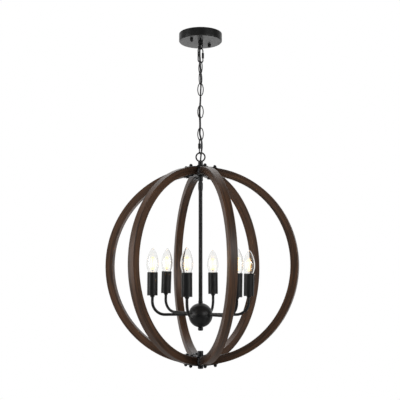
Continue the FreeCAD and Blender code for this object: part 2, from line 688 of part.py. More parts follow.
def glass_line(shrink):
    """Outline of the bulb's glass from skirt to tip, drawn in by a wall thickness."""
    low = socket_top() + BULB_GAP + BULB_SKIRT_H
    foot = V(BULB_SKIRT_D / 2 - shrink, 0, low)
    widest = V(GLASS_D / 2 - shrink, 0, low + GLASS_WIDEST)
    crown = V(GLASS_CROWN_D / 2 - shrink, 0, low + GLASS_L - GLASS_CROWN_H - shrink / 2)
    tip = V(0, 0, low + GLASS_L - shrink)
    edges = [
        Part.Arc(foot, V(GLASS_MOUTH_D / 2 - shrink, 0, low + GLASS_MOUTH), widest).toShape(),
        Part.Arc(widest, V(GLASS_SHOULDER_D / 2 - shrink, 0, low + GLASS_SHOULDER), crown).toShape(),
        Part.Arc(crown, on_dome(crown.x, crown.z, tip.z), tip).toShape(),
    ]
    return edges, foot, tip


def bulb_glass():
    outer, outer_foot, outer_tip = glass_line(0)
    inner, inner_foot, inner_tip = glass_line(GLASS_WALL)
    across_tip, across_foot = Part.makeLine(outer_tip, inner_tip), Part.makeLine(inner_foot, outer_foot)
    outline = Part.Wire(outer + [across_tip] + inner[::-1] + [across_foot])
    return Part.Face(outline).revolve(V(0, 0, 0), UP, 360)


# Lamp cord

def lamp_cord():
    """Round cord along straight runs joined by tangent arcs."""
    points = [V(*p) for p in CORD_ROUTE]
    edges, at, tightest = [], points[0], None
    for before, corner, after in zip(points, points[1:], points[2:]):
        back, ahead = (before - corner), (after - corner)
        turn = math.pi - back.getAngle(ahead)
        if turn < 1e-4:
            continue
        trim = 0.45 * min(back.Length, ahead.Length)
        radius = trim / math.tan(turn / 2)
        tightest = radius if tightest is None else min(tightest, radius)
        back.normalize()
        ahead.normalize()
        start, end = corner + back * trim, corner + ahead * trim
        bisector = (back + ahead).normalize()
        middle = corner + bisector * (radius / math.cos(turn / 2) - radius)
        edges += [Part.makeLine(at, start), Part.Arc(start, middle, end).toShape()]
        at = end
    edges.append(Part.makeLine(at, points[-1]))
    path = Part.Wire(edges)
    ring = Part.Wire(Part.makeCircle(CORD_D / 2, points[0], points[1] - points[0]))
    print("cord length %.1f mm, tightest radius %.1f mm" % (path.Length, tightest))
    return path.makePipeShell([ring], True, False)


def build():
    os.makedirs("parts", exist_ok=True)

    save("box_strap", box_strap())
    save("canopy_strap", canopy_strap())
    save("threaded_nipple", nipple())
    save("nipple_nuts", *nipple_nuts())
    save("canopy", canopy())
    screws, nuts = canopy_fixings()
    save("canopy_screws", *screws)
    save("canopy_nuts", *nuts)
    save("canopy_loop", canopy_loop())
    save("lamp_cord", lamp_cord())

    save("upper_quick_link", *quick_link(UPPER_QUICK_Z, UPPER_QUICK_TURN, 1))
    for k in range(LINK_COUNT):
        z = FIRST_LINK_Z - k * LINK_PITCH
        save("chain_link_%d" % (k + 1), chain_link(z, LINK_TURNS[k % len(LINK_TURNS)]))
    save("lower_quick_link", *quick_link(LOWER_QUICK_Z, LOWER_QUICK_TURN, -1))

    save("ring_loop", ring_loop())
    save("loop_nut", loop_nut())
    save("hub_tube", hub_tube())
    save("top_outer_spider", spider(True, TUBE_NECK_D))
    save("top_inner_spider", spider(False, TUBE_D))
    save("bottom_inner_spider", flipped(spider(False, POST_D)))
    save("bottom_outer_spider", flipped(spider(True, POST_D)))
    for k, azimuth in enumerate(arc_azimuths()):
        save("wood_arc_%d" % (k + 1), wood_arc(azimuth))
    bolts, cap_nuts = hub_bolts()
    save("hub_bolts", *bolts)
    save("hub_cap_nuts", *cap_nuts)
    save("bottom_post", *bottom_post())

    save("rod_coupling", rod_coupling())
    save("stem_rod", stem_rod())
    save("ball_upper", ball_shell(True))
    save("ball_lower", ball_shell(False))
    save("ball_finial", ball_finial())

    tube, nut = candle_arm()
    for k in range(ARM_COUNT):
        save("candle_arm_%d" % (k + 1), on_arm(tube, k), on_arm(nut, k))
    save("candle_sleeves", *on_arms(sleeve()))
    save("sleeve_nuts", *on_arms(sleeve_nut()))
    save("lamp_sockets", *on_arms(lamp_socket()))
    cap, light = bulb_base()
    for k, (base, filaments, glass) in enumerate(zip(on_arms(cap), on_arms(light), on_arms(bulb_glass()))):
        save("bulb_base_%d" % (k + 1), base, filaments)
        save("bulb_glass_%d" % (k + 1), glass)


build()
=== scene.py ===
"""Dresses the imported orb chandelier: finishes for its wood and metal, smooth lit bulbs, the woven
lamp cord, and a plain white studio with the camera."""

import json
import math

import bpy
from mathutils import Matrix, Vector


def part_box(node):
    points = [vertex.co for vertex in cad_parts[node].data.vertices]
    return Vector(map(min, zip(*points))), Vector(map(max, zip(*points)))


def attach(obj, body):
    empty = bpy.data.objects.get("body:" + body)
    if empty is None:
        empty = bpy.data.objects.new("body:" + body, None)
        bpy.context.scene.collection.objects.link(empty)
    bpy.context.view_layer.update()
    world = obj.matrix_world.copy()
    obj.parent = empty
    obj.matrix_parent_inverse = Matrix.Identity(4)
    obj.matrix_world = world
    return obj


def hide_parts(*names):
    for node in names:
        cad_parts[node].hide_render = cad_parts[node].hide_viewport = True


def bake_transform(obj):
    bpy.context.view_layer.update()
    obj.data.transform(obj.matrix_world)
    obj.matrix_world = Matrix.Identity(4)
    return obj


bl_info = {
    "name": "Orb chandelier",
    "version": (1, 0, 0),
    "blender": (4, 5, 0),
    "location": "View3D > Sidebar > Chandelier",
    "description": "Finishes, lit bulbs, cord and studio for a wooden orb chandelier",
    "category": "Object",
}

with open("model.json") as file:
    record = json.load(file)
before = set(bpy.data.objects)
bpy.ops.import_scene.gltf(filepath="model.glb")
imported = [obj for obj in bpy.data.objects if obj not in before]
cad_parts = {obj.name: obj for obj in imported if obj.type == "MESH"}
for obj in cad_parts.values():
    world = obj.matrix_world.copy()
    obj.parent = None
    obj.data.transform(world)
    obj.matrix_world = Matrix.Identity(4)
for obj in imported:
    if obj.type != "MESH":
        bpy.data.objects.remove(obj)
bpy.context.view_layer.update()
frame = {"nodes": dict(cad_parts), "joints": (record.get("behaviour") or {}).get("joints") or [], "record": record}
MM = 0.001
ARC_COUNT = 6

# The cord's route, the same points as its solid's, in metres; the last but one only keeps the run
# down the stem straight, as the solid's is
CORD_ROUTE = (
    (0.0, 0.0, -0.001), (0.0, 0.0, -0.0265), (-0.0005, -0.0025, -0.034),
    (-0.0014, -0.0069, -0.0425), (-0.0030, -0.0082, -0.062), (-0.0014, -0.0062, -0.080),
    (-0.0014, -0.0062, -0.091), (0.0004, -0.0075, -0.112), (0.0005, -0.0075, -0.124),
    (0.0013, -0.0062, -0.145), (0.0013, -0.0062, -0.157), (0.0003, -0.0102, -0.177),
    (0.0, -0.0126, -0.193), (-0.0007, -0.0126, -0.2115), (-0.0033, 0.0, -0.2352),
    (-0.0013, 0.0126, -0.259), (-0.0011, 0.0126, -0.2775), (-0.0028, 0.0003, -0.3005),
    (0.0019, -0.0079, -0.317), (0.0037, -0.0072, -0.329), (0.0036, -0.0073, -0.347),
    (0.0022, -0.0074, -0.3585), (0.0, 0.0, -0.3755), (0.0, 0.0, -0.392),
    (0.0, 0.0, -0.812),
)
# Level, the turn there of the flat cord's wide side from the X axis in degrees, and its share of
# the full width: the jacket is nearly round where it passes through a bore
CORD_LAY = (
    (0.0, 0.0, 0.8), (-0.045, 20.0, 0.8), (-0.065, 22.0, 1.0), (-0.100, 25.0, 1.0),
    (-0.135, 20.0, 1.0), (-0.168, 75.0, 1.0), (-0.201, 58.0, 1.0), (-0.235, 0.0, 1.0),
    (-0.270, -8.0, 1.0), (-0.301, 40.0, 1.0), (-0.340, 20.0, 1.0), (-0.358, 43.0, 0.8),
    (-0.368, 53.0, 0.8), (-0.400, 0.0, 0.8), (-1.0, 0.0, 0.8),
)
CORD_SMOOTHNESS = 12        # points of the line for each point of the route
CORD_GROOVE = 2.2           # the greater, the narrower the groove between the cores

# Plain finishes: sRGB colour, roughness, and the marks' or the grain's size in mm. The real ones
# are finer, and these are drawn as coarse as they need to show from near.
ZINC = ("#BEC0C4", 0.35, (2.5, 2.5, 0.4))           # plated on rolled steel: cool grey, half dull
NICKEL = ("#CCC6B8", 0.28, (1.667, 1.667, 0.3333))  # plated on spun brass: warm grey, bright
PHENOLIC = ("#1E1C1B", 0.5, 0.8)        # pressed in a mould: brownish black, satin
JACKET = ("#161616", 0.45, 0.9)         # soft vinyl, drawn over the cores: black, a soft shine
CLEAR = "#FAFAF9"                       # glass: hardly tinted, as clear soda-lime is
PHOSPHOR = "#F0C878"                    # unlit: the yellow of a filament's silicone

# A candle bulb, in mm: radius, and height over the glass's neck unless another level is named
GLASS_R, GLASS_NECK_R, GLASS_TIP_R = 17.4, 7.6, 0.4
GLASS_WALL, GLASS_INNER_TIP_R = 0.8, 0.2
GLASS_WIDEST = 0.44         # share of the glass's height at which it is widest
GLASS_STEPS = 44
BUTTON = ((2.4, 0.0), (2.5, 1.6), (5.2, 2.4), (5.6, 4.0))   # heights over the base's foot
SCREW_R, SCREW_FOOT, SCREW_STEPS = 5.6, 4.4, 40             # its foot lies over the base's foot
THREAD_PITCH, THREAD_DEPTH = 2.8, 0.3
SKIRT = ((5.9, -2.7), (7.5, -2.6), (7.5, -0.2), (7.0, 0.0))
SKIRT_GAP, THREAD_GAP = 1.0, 1.2        # from the skirt down to the screw, and to its thread
STEM = (
    (5.2, 0.2), (4.6, 2.0), (3.0, 5.0), (2.2, 9.0),
    (2.2, 14.0), (2.6, 15.5), (2.2, 17.0), (1.0, 18.4),
)
LEAD = ((0.25, 17.5), (0.3, 18.2), (0.3, 53.6), (0.2, 54.4))
FILAMENT = ((0.35, 0.0), (0.72, 0.8), (0.75, 3.0), (0.75, 32.0), (0.72, 34.2), (0.35, 35.0))
FILAMENT_COUNT, FILAMENT_RING_R, FILAMENT_FOOT = 4, 3.5, 19.0
FILAMENT_TURN = 0.5         # of the first stick, in radians
FILAMENT_SIDES, LEAD_SIDES = 12, 10
GLOW_HEIGHT, GLOW_R = 37.0, 12.0        # place and size of the light that the bulb throws

SENSOR_WIDTH = 36.0         # in mm, as the lens is
CAMERA_X = -0.0015          # in metres, off the lamp's axis
FLOOR_HALF = 4.5            # half the side of the square floor, in metres
FLOOR_COLOURS = ("#EEEEED", "#F4F4F3")
FLOOR_CLOUD = 25.0          # in mm, across one cloud of its two colours
# Where the white panels' light rises, as sines of the angle that a mirrored ray takes
BACKDROP_RISE = (0.2, 0.85)     # towards the backdrop
SWEEP_RISE = (-0.1, -0.4)       # down towards the sweep
CROWN_RISE = (0.3, 0.55)        # up towards the crown
FLOOR_FADE = (0.6, 3.4)     # distances from under the lamp over which the floor turns white
# Name, place, width and height in metres, and power in watts
SOFTBOXES = (
    ("left_softbox", (-2.3, -0.75, -0.45), 0.5, 1.8, 30.0),
    ("right_softbox", (2.1, -1.25, -0.45), 0.45, 1.8, 14.0),
    ("front_softbox", (-0.9, -2.6, 0.2), 0.8, 0.8, 5.0),
    ("near_softbox", (1.4, -1.95, -0.1), 0.25, 0.4, 13.0),
)
SOFTBOX_TARGET = (0.0, 0.0, -0.62)


def linear(colour, share=1.0):
    """Linear RGBA from an sRGB hex value, with its three parts times a share."""
    def one(value):
        """One part, by the sRGB transfer curve."""
        return value / 12.92 if value <= 0.04045 else ((value + 0.055) / 1.055) ** 2.4
    parts = (int(colour[place:place + 2], 16) for place in (1, 3, 5))
    return tuple(one(part * share / 255) for part in parts) + (1.0,)


class WalnutSettings(bpy.types.PropertyGroup):
    """Stain, grain, lacquer and painted shade near the hub of the six wooden arcs"""
    dark: bpy.props.FloatVectorProperty(
        name="Dark stain", description="Colour of the pores and the dark grain",
        default=linear("#21160D"), size=4, subtype="COLOR")
    light: bpy.props.FloatVectorProperty(
        name="Light stain", description="Colour of the ground between the grain",
        default=linear("#5D3E26"), size=4, subtype="COLOR")
    grain: bpy.props.FloatProperty(
        name="Grain spacing", description="Distance between two streaks of the grain",
        default=0.0022, unit="LENGTH")
    streak: bpy.props.FloatProperty(
        name="Streak length", description="How far a streak runs along the arc",
        default=0.070, unit="LENGTH")
    # Painted shade: the arcs' colour is darkened towards the hub, out to this distance from the axis
    hub_shade_reach: bpy.props.FloatProperty(
        name="Soak", description="How far from the axis the darker stain of the arcs' ends reaches",
        default=0.13, unit="LENGTH")
    # Painted shade: how dark the arcs' colour is made at the hub, as a share of the stain's own
    ends: bpy.props.FloatProperty(
        name="Ends", description="Shade of the stain that soaked into the arcs' end grain",
        default=0.42, subtype="FACTOR")
    sheen: bpy.props.FloatProperty(
        name="Sheen", description="Specular level of the wiped lacquer, 0.5 being a clear one's",
        default=0.36, subtype="FACTOR")
    roughness: bpy.props.FloatProperty(
        name="Roughness", description="Roughness of the wiped lacquer",
        default=0.43, subtype="FACTOR")


class MetalSettings(bpy.types.PropertyGroup):
    """Black powder coat on the metal, and the plain metals behind it"""
    coat: bpy.props.FloatVectorProperty(
        name="Powder coat", description="Colour of the black coat",
        default=linear("#101010"), size=4, subtype="COLOR")
    pale: bpy.props.FloatVectorProperty(
        name="Pale patches", description="Colour of the coat's palest patches",
        default=linear("#141414"), size=4, subtype="COLOR")
    grain: bpy.props.FloatProperty(
        name="Coat grain", description="Size of the coat's fine texture",
        default=0.0006, unit="LENGTH")
    sheen: bpy.props.FloatProperty(
        name="Sheen", description="Specular level of the powder coat, 0.5 being a clear lacquer's",
        default=0.3, subtype="FACTOR")
    roughness: bpy.props.FloatProperty(
        name="Roughness", description="Roughness of the powder coat",
        default=0.42, subtype="FACTOR")


class BulbSettings(bpy.types.PropertyGroup):
    """Candle bulbs with lit filament sticks"""
    glow: bpy.props.FloatProperty(
        name="Filament glow", description="Emission strength of a filament stick", default=1.0)
    light: bpy.props.FloatProperty(
        name="Bulb light", description="Light that one bulb throws on its surroundings",
        default=0.05, unit="POWER")
    middle: bpy.props.FloatVectorProperty(
        name="Lit middle", description="Colour of a filament's hot middle",
        default=linear("#FFF4E2"), size=4, subtype="COLOR")
    ends: bpy.props.FloatVectorProperty(
        name="Lit ends", description="Colour of a filament's cooler ends",
        default=linear("#FFC468"), size=4, subtype="COLOR")
    segments: bpy.props.IntProperty(
        name="Segments", description="Sides of each turned glass or metal piece", default=64)


class CordSettings(bpy.types.PropertyGroup):
    """The flat twin lamp cord that is woven through the chain"""
    width: bpy.props.FloatProperty(
        name="Width", description="Over the two cores, side by side", default=0.0058, unit="LENGTH")
    thickness: bpy.props.FloatProperty(
        name="Thickness", description="Over one core", default=0.0038, unit="LENGTH")
    waist: bpy.props.FloatProperty(
        name="Waist", description="Depth of the groove between the cores, by the thickness",
        default=0.12, subtype="FACTOR")
    sides: bpy.props.IntProperty(
        name="Sides", description="Sides of the cord's tube", default=24)


class StudioSettings(bpy.types.PropertyGroup):
    """Camera, floor and lights of the white studio"""
    lens: bpy.props.FloatProperty(
        name="Lens", description="Focal length on a 36 mm sensor", default=67.16, unit="CAMERA")
    distance: bpy.props.FloatProperty(
        name="Distance", description="From the lamp's axis to the camera",
        default=2.1388, unit="LENGTH")
    height: bpy.props.FloatProperty(
        name="Height", description="Camera's height below the ceiling, as a negative number",
        default=-0.7502, unit="LENGTH")
    tilt: bpy.props.FloatProperty(
        name="Tilt", description="How far the camera looks up",
        default=math.radians(6.81), unit="ROTATION")
    fill: bpy.props.FloatProperty(
        name="Fill", description="Soft light of the surroundings on matt surfaces", default=0.32)
    sweep: bpy.props.FloatProperty(
        name="Sweep", description="Extra light of the white sweep low behind the lamp", default=1.7)
    crown: bpy.props.FloatProperty(
        name="Crown", description="Extra light of the white panel high behind the lamp",
        default=1.5)
    room: bpy.props.FloatProperty(
        name="Room", description="Light of the dim room in front of the lamp", default=0.06)
    floor_white: bpy.props.FloatProperty(
        name="Floor white", description="Share of plain white that the eye sees in the floor",
        default=0.72, subtype="FACTOR")
    floor_drop: bpy.props.FloatProperty(
        name="Floor", description="Height of the ceiling over the floor",
        default=2.5, unit="LENGTH")


class ChandelierSettings(bpy.types.PropertyGroup):
    """All settings of the chandelier"""
    walnut: bpy.props.PointerProperty(
        name="Walnut", description="Wood of the arcs", type=WalnutSettings)
    metal: bpy.props.PointerProperty(
        name="Metal", description="Black coat and plain metals", type=MetalSettings)
    bulb: bpy.props.PointerProperty(name="Bulb", description="Candle bulbs", type=BulbSettings)
    cord: bpy.props.PointerProperty(name="Cord", description="Lamp cord", type=CordSettings)
    studio: bpy.props.PointerProperty(
        name="Studio", description="Camera, floor and lights", type=StudioSettings)


def add(tree, kind, inputs=(), **settings):
    """Adds a shader node. An input is a value, or another node's output socket to link from."""
    node = tree.nodes.new(kind)
    for name, value in settings.items():
        setattr(node, name, value)
    for name, value in dict(inputs).items():
        if isinstance(value, bpy.types.NodeSocket):
            tree.links.new(value, node.inputs[name])
        else:
            node.inputs[name].default_value = value
    return node


def blank(name):
    """New empty node material and its tree."""
    material = bpy.data.materials.new(name)
    material.use_nodes = True
    material.node_tree.nodes.clear()
    return material, material.node_tree


def dress(node, material):
    """Gives one CAD node its finish."""
    mesh = frame["nodes"][node].data
    mesh.materials.clear()
    mesh.materials.append(material)
    for polygon in mesh.polygons:
        polygon.material_index = 0


def new_object(name, verts, faces, material):
    """Smooth mesh object in the scene."""
    mesh = bpy.data.meshes.new(name)
    mesh.from_pydata(verts, [], faces)
    mesh.polygons.foreach_set("use_smooth", [True] * len(mesh.polygons))
    mesh.materials.append(material)
    mesh.update()
    obj = bpy.data.objects.new(name, mesh)
    bpy.context.scene.collection.objects.link(obj)
    return obj


def ring_faces(rings, sides):
    """Quads between rings of points, and a face that closes each end."""
    faces = []
    for ring in range(rings - 1):
        for n in range(sides):
            a, b = ring * sides + n, ring * sides + (n + 1) % sides
            faces.append((a, b, b + sides, a + sides))
    faces.append(tuple(reversed(range(sides))))
    faces.append(tuple((rings - 1) * sides + n for n in range(sides)))
    return faces


def metres(outline, lift=0.0):
    """Outline in metres from one in mm, raised by a height in metres."""
    return [(radius * MM, lift + height * MM) for radius, height in outline]


def lathe(name, outline, seat, segments, material, swell=None):
    """Closed surface turned about the Z axis of its seat.

    swell(angle, height) gives how far a point moves outwards.
    """
    verts = []
    for radius, height in outline:
        for k in range(segments):
            angle = 2 * math.pi * k / segments
            out = radius + (swell(angle, height) if swell else 0.0)
            verts.append(seat @ Vector((out * math.cos(angle), out * math.sin(angle), height)))
    return new_object(name, verts, ring_faces(len(outline), segments), material)


def reach(node, direction):
    """Lowest and highest place of a CAD node's points along a direction."""
    places = [v.co.dot(direction) for v in frame["nodes"][node].data.vertices]
    return min(places), max(places)


def seat_on(node, axis):
    """Matrix with its origin on a round node's foot and Z along its axis, and the node's length."""
    along = Vector(axis).normalized()
    side = Vector((0, 1, 0)).cross(along).normalized()
    other = along.cross(side)
    low, high = reach(node, along)
    foot = along * low + side * sum(reach(node, side)) / 2 + other * sum(reach(node, other)) / 2
    turn = Matrix((side, other, along)).transposed().to_4x4()
    return Matrix.Translation(foot) @ turn, high - low


def walnut(name, azimuth, seed, settings):
    """Stained walnut, wiped with satin lacquer: dark pores and slow bands along the bend.

    Real pores are finer than the render shows, so the streaks are as wide as it needs.
    """
    bend_r = 0.27                       # middle line of the arcs, to lay the grain off along them
    seed_across = 1.7                   # the seed's share across the grain
    band_length, band_width = 200.0 * MM, 9.091 * MM
    band_share = 0.45                   # of the bands against the pores
    dark_stop, light_stop = 0.36, 0.66  # on the grain's ramp, of the plain dark and light stain
    hub_reach = 0.025                   # from the axis, where the painted shade at the hub is darkest
    material, tree = blank(name)
    place = add(tree, "ShaderNodeTexCoord").outputs["Object"]
    middle = (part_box("wood_arc_1")[0][2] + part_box("wood_arc_1")[1][2]) / 2
    centred = add(tree, "ShaderNodeVectorMath", {0: place, 1: (0, 0, middle)}, operation="SUBTRACT")
    level = add(tree, "ShaderNodeVectorRotate", {
        "Vector": centred.outputs[0], "Angle": -azimuth}, rotation_type="Z_AXIS")
    axes = add(tree, "ShaderNodeSeparateXYZ", {0: level.outputs[0]})
    angle = add(tree, "ShaderNodeMath", {
        0: axes.outputs["Z"], 1: axes.outputs["X"]}, operation="ARCTAN2")
    flat = add(tree, "ShaderNodeCombineXYZ", {"X": axes.outputs["X"], "Y": axes.outputs["Z"]})
    radius = add(tree, "ShaderNodeVectorMath", {0: flat.outputs[0]}, operation="LENGTH")
    along = add(tree, "ShaderNodeMath", {0: angle.outputs[0], 1: bend_r}, operation="MULTIPLY")
    board = add(tree, "ShaderNodeCombineXYZ", {
        "X": along.outputs[0], "Y": radius.outputs["Value"], "Z": axes.outputs["Y"]})
    shifted = add(tree, "ShaderNodeVectorMath", {
        0: board.outputs[0], 1: (seed, seed * seed_across, 0)}, operation="ADD")
    coarse, fine = 1 / settings.streak, 1 / settings.grain
    stretched = add(tree, "ShaderNodeVectorMath", {
        0: shifted.outputs[0], 1: (coarse, fine, fine)}, operation="MULTIPLY")
    pores = add(tree, "ShaderNodeTexNoise", {
        "Vector": stretched.outputs[0], "Scale": 1.0, "Detail": 4.0, "Roughness": 0.62})
    broad = add(tree, "ShaderNodeVectorMath", {
        0: shifted.outputs[0], 1: (1 / band_length, 1 / band_width, 1 / band_width)},
        operation="MULTIPLY")
    bands = add(tree, "ShaderNodeTexNoise", {
        "Vector": broad.outputs[0], "Scale": 1.0, "Detail": 2.0, "Distortion": 0.6})
    mixed = add(tree, "ShaderNodeMix", {
        "Factor": band_share, "A": pores.outputs["Fac"], "B": bands.outputs["Fac"]},
        data_type="FLOAT")
    ramp = add(tree, "ShaderNodeValToRGB", {"Fac": mixed.outputs[0]})
    ramp.color_ramp.elements[0].position = dark_stop
    ramp.color_ramp.elements[0].color = settings.dark
    ramp.color_ramp.elements[1].position = light_stop
    ramp.color_ramp.elements[1].color = settings.light
    # Painted shade: the stain's colour is scaled down towards the axis, where the arcs meet at the hub
    flat_place = add(tree, "ShaderNodeVectorMath", {
        0: place, 1: (1, 1, 0)}, operation="MULTIPLY")
    from_axis = add(tree, "ShaderNodeVectorMath", {0: flat_place.outputs[0]}, operation="LENGTH")
    painted_hub_shade = add(tree, "ShaderNodeMapRange", {
        "Value": from_axis.outputs["Value"], "From Min": hub_reach, "From Max": settings.hub_shade_reach,
        "To Min": settings.ends, "To Max": 1.0}, interpolation_type="SMOOTHSTEP")
    stain_and_shade = add(tree, "ShaderNodeVectorMath", {
        0: ramp.outputs["Color"], "Scale": painted_hub_shade.outputs[0]}, operation="SCALE")
    rough = add(tree, "ShaderNodeMapRange", {
        "Value": pores.outputs["Fac"], "To Min": settings.roughness + 0.12,
        "To Max": settings.roughness - 0.05})
    bump = add(tree, "ShaderNodeBump", {
        "Height": pores.outputs["Fac"], "Strength": 0.35, "Distance": 0.0004})
    lacquered = add(tree, "ShaderNodeBsdfPrincipled", {
        "Base Color": stain_and_shade.outputs[0], "Roughness": rough.outputs[0],
        "Specular IOR Level": settings.sheen, "Normal": bump.outputs[0]})
    add(tree, "ShaderNodeOutputMaterial", {"Surface": lacquered.outputs[0]})
    return material


def powder_coat(name, settings):
    """Black polyester powder coat, baked on steel: even colour with a fine orange-peel surface."""
    patch = 33.333 * MM                 # across one paler patch
    material, tree = blank(name)
    place = add(tree, "ShaderNodeTexCoord").outputs["Object"]
    peel = add(tree, "ShaderNodeTexNoise", {
        "Vector": place, "Scale": 1 / settings.grain, "Detail": 2.0})
    cloud = add(tree, "ShaderNodeTexNoise", {"Vector": place, "Scale": 1 / patch, "Detail": 3.0})
    colour = add(tree, "ShaderNodeMix", {
        "Factor": cloud.outputs["Fac"], "A": settings.coat, "B": settings.pale}, data_type="RGBA")
    rough = add(tree, "ShaderNodeMapRange", {
        "Value": cloud.outputs["Fac"], "To Min": settings.roughness - 0.05,
        "To Max": settings.roughness + 0.06})
    bump = add(tree, "ShaderNodeBump", {
        "Height": peel.outputs["Fac"], "Strength": 0.12, "Distance": 0.0002})
    coat = add(tree, "ShaderNodeBsdfPrincipled", {
        "Base Color": colour.outputs[2], "Roughness": rough.outputs[0],
        "Specular IOR Level": settings.sheen, "Normal": bump.outputs[0]})
    add(tree, "ShaderNodeOutputMaterial", {"Surface": coat.outputs[0]})
    return material


def plain_metal(name, colour, roughness, sizes):
    """Plated metal, rolled or turned: fine marks, of a size in mm along each axis."""
    duller = 0.86                       # the marks against the metal
    material, tree = blank(name)
    place = add(tree, "ShaderNodeTexCoord").outputs["Object"]
    worked = add(tree, "ShaderNodeVectorMath", {
        0: place, 1: [1 / (size * MM) for size in sizes]}, operation="MULTIPLY")
    marks = add(tree, "ShaderNodeTexNoise", {
        "Vector": worked.outputs[0], "Scale": 1.0, "Detail": 3.0})
    marked = add(tree, "ShaderNodeMix", {
        "Factor": marks.outputs["Fac"], "A": linear(colour, duller),
        "B": linear(colour)}, data_type="RGBA")
    rough = add(tree, "ShaderNodeMapRange", {
        "Value": marks.outputs["Fac"], "To Min": roughness - 0.07, "To Max": roughness + 0.09})
    metal = add(tree, "ShaderNodeBsdfPrincipled", {
        "Base Color": marked.outputs[2], "Metallic": 1.0, "Roughness": rough.outputs[0]})
    add(tree, "ShaderNodeOutputMaterial", {"Surface": metal.outputs[0]})
    return material


def moulded(name, colour, roughness, grain):
    """Moulded plastic: even colour with a faint moulded texture, its grain in mm."""
    paler = 1.2                         # the texture's raised spots against the colour
    material, tree = blank(name)
    place = add(tree, "ShaderNodeTexCoord").outputs["Object"]
    skin = add(tree, "ShaderNodeTexNoise", {
        "Vector": place, "Scale": 1 / (grain * MM), "Detail": 2.0})
    mottled = add(tree, "ShaderNodeMix", {
        "Factor": skin.outputs["Fac"], "A": linear(colour),
        "B": linear(colour, paler)}, data_type="RGBA")
    bump = add(tree, "ShaderNodeBump", {
        "Height": skin.outputs["Fac"], "Strength": 0.15, "Distance": 0.0001})
    plastic = add(tree, "ShaderNodeBsdfPrincipled", {
        "Base Color": mottled.outputs[2], "Roughness": roughness, "Normal": bump.outputs[0]})
    add(tree, "ShaderNodeOutputMaterial", {"Surface": plastic.outputs[0]})
    return material


def clear_glass(name):
    """Blown or drawn soda-lime glass: clear and smooth, with faint waves that bend the view."""
    wave = 16.667 * MM                  # across one wave of its thickness
    material, tree = blank(name)
    place = add(tree, "ShaderNodeTexCoord").outputs["Object"]
    waves = add(tree, "ShaderNodeTexNoise", {"Vector": place, "Scale": 1 / wave, "Detail": 1.0})
    bump = add(tree, "ShaderNodeBump", {
        "Height": waves.outputs["Fac"], "Strength": 0.03, "Distance": 0.0003})
    glass = add(tree, "ShaderNodeBsdfPrincipled", {
        "Base Color": linear(CLEAR), "Roughness": 0.02, "IOR": 1.45,
        "Transmission Weight": 1.0, "Normal": bump.outputs[0]})
    add(tree, "ShaderNodeOutputMaterial", {"Surface": glass.outputs[0]})
    return material


def lit_phosphor(name, settings):
    """Lit filament stick: silicone with yellow phosphor over chips, paler in its hot middle."""
    cool_end = 0.22                     # share of the stick over which an end turns to the middle
    material, tree = blank(name)
    place = add(tree, "ShaderNodeTexCoord").outputs["Generated"]
    share = add(tree, "ShaderNodeSeparateXYZ", {0: place}).outputs["Z"]
    ramp = add(tree, "ShaderNodeValToRGB", {"Fac": share})
    ramp.color_ramp.elements[0].color = settings.ends
    ramp.color_ramp.elements[1].color = settings.ends
    for stop in (cool_end, 1 - cool_end):
        ramp.color_ramp.elements.new(stop).color = settings.middle
    stick = add(tree, "ShaderNodeBsdfPrincipled", {
        "Base Color": linear(PHOSPHOR), "Roughness": 0.5,
        "Emission Color": ramp.outputs["Color"], "Emission Strength": settings.glow})
    add(tree, "ShaderNodeOutputMaterial", {"Surface": stick.outputs[0]})
    return material


def bulb_outline(length):
    """Candle bulb's outer line from its neck to its pointed crown: radius and height."""
    belly, shoulder, crown = 1.15, 1.75, 0.72    # exponents that shape the line
    neck, widest = GLASS_NECK_R * MM, GLASS_R * MM
    points = []
    for k in range(GLASS_STEPS + 1):
        share = k / GLASS_STEPS
        if share < GLASS_WIDEST:
            swell = math.sin(share / GLASS_WIDEST * math.pi / 2) ** belly
            radius = neck + (widest - neck) * swell
        else:
            above = (share - GLASS_WIDEST) / (1 - GLASS_WIDEST)
            radius = widest * (1 - above ** shoulder) ** crown
        points.append((max(radius, GLASS_TIP_R * MM), length * share))
    return points


class MESH_OT_chandelier_wood(bpy.types.Operator):
    """Stain and lacquer the six wooden arcs"""
    bl_idname = "mesh.chandelier_wood"
    bl_label = "Finish wooden arcs"

    def execute(self, context):
        settings = context.scene.chandelier.walnut
        seed_step = 0.37                # so that no two arcs share their grain
        for k in range(ARC_COUNT):
            node = "wood_arc_%d" % (k + 1)
            verts = frame["nodes"][node].data.vertices
            x = sum(v.co.x for v in verts)
            y = sum(v.co.y for v in verts)
            dress(node, walnut(
                "stained_walnut_%d" % (k + 1), math.atan2(y, x), seed_step * k, settings))
        return {"FINISHED"}


class MESH_OT_chandelier_metal(bpy.types.Operator):
    """Coat the metal pieces and finish the hidden straps and sockets"""
    bl_idname = "mesh.chandelier_metal"
    bl_label = "Finish metal"

    def execute(self, context):
        settings = context.scene.chandelier.metal
        finishes = {
            "black_metal": powder_coat("black_powder_coat", settings),
            "zinc_steel": plain_metal("zinc_plated_steel", *ZINC),
            "socket_black": moulded("phenolic_socket", *PHENOLIC),
        }
        for subpart in frame["record"]["subparts"]:
            finish = finishes.get(subpart["material_slot"])
            if finish:
                dress(subpart["node"], finish)
        return {"FINISHED"}


